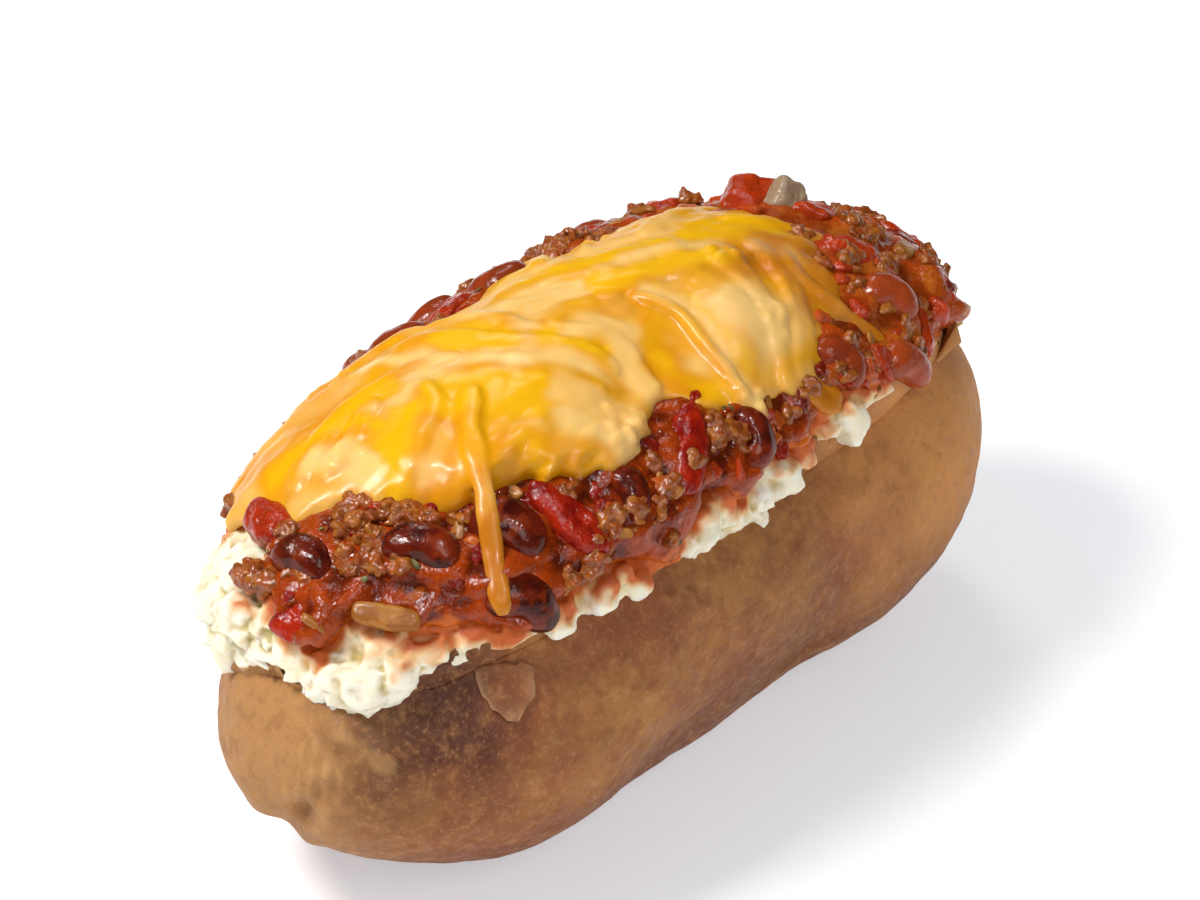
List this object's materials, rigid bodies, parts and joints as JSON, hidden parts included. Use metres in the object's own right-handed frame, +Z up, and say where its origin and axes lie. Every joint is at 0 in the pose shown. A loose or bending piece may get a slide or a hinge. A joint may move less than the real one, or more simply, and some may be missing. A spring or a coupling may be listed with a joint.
{
  "type": "baked potato",
  "caption": "Baked russet potato split along its top, its fluffed flesh heaped with chili and a blanket of melted cheese; lies on its flattened belly.",
  "frame": {"origin": "middle of the footprint of the whole, on the surface it rests on", "axes": "+X along the potato's long axis towards its far end, -Y the side shown, +Z up"},
  "size_m": [0.1442, 0.0678, 0.0746],
  "materials": {
    "skin": "matte baked potato skin",
    "flesh": "fluffy cooked potato",
    "sauce": "wet chili sauce",
    "cheese": "soft gloss melted cheese",
    "bean": "wet cooked bean skin",
    "tomato": "wet cooked tomato",
    "beef": "crumbled minced beef, oily",
    "onion": "soft stewed onion"
  },
  "bodies": {
    "root": {"potato": "skin", "flesh": "flesh", "chili": "sauce", "cheese": "cheese", "bean_1": "bean", "bean_2": "bean", "bean_3": "bean", "bean_4": "bean", "bean_5": "bean", "bean_6": "bean", "bean_7": "bean", "bean_8": "bean", "bean_9": "bean", "bean_10": "bean", "bean_11": "bean", "bean_12": "bean", "bean_13": "bean", "bean_14": "bean", "bean_15": "bean", "bean_16": "bean", "tomato_1": "tomato", "tomato_2": "tomato", "tomato_3": "tomato", "tomato_4": "tomato", "tomato_5": "tomato", "tomato_6": "tomato", "tomato_7": "tomato", "tomato_8": "tomato", "tomato_9": "tomato", "tomato_10": "tomato", "tomato_11": "tomato", "tomato_12": "tomato", "tomato_13": "tomato", "tomato_14": "tomato", "beef_1": "beef", "beef_2": "beef", "beef_3": "beef", "beef_4": "beef", "beef_5": "beef", "beef_6": "beef", "beef_7": "beef", "beef_8": "beef", "beef_9": "beef", "beef_10": "beef", "onion_1": "onion", "onion_2": "onion", "onion_3": "onion", "onion_4": "onion", "onion_5": "onion"}
  },
  "joints": []
}
